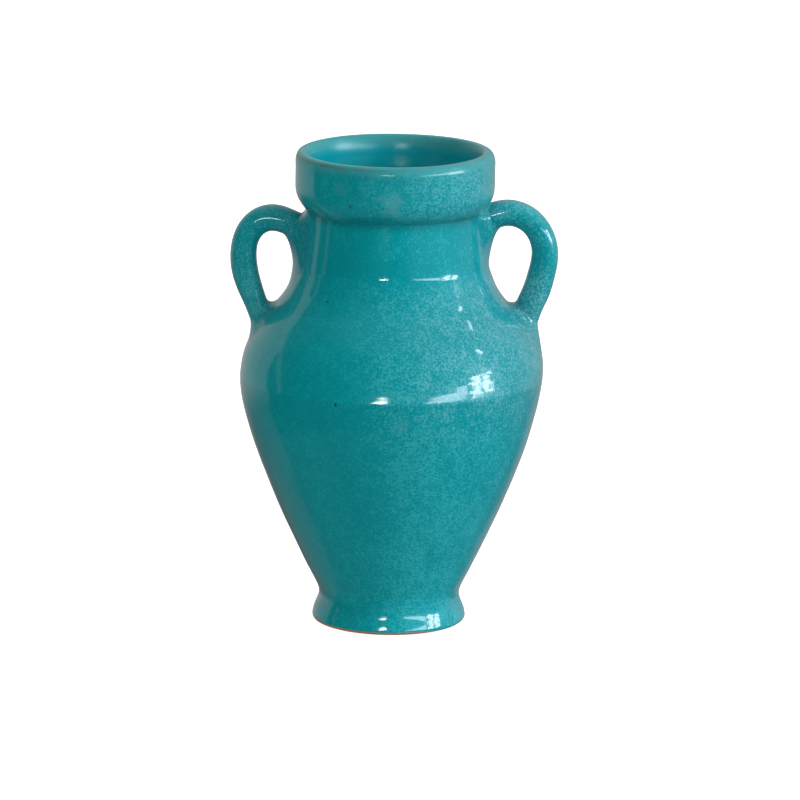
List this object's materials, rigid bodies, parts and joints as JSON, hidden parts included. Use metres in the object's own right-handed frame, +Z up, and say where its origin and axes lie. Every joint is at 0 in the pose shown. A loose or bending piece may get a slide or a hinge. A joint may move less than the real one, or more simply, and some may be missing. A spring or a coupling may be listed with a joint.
{
  "type": "two-handled vase",
  "caption": "Glazed earthenware amphora vase with a flared foot, wide shoulder, thick rolled collar and a loop handle on each side of the neck.",
  "frame": {"origin": "on the vase's axis, at the plane it stands on", "axes": "+Z up along the axis, handles along -X and +X, plain front towards -Y"},
  "size_m": [0.2053, 0.191, 0.3],
  "materials": {
    "turquoise_glaze": "glossy mottled turquoise glaze over red earthenware"
  },
  "bodies": {
    "root": {"foot_ring": "turquoise_glaze", "lower_body": "turquoise_glaze", "shoulder": "turquoise_glaze", "neck": "turquoise_glaze", "rim_collar": "turquoise_glaze", "handle_left": "turquoise_glaze", "handle_right": "turquoise_glaze"}
  },
  "joints": []
}
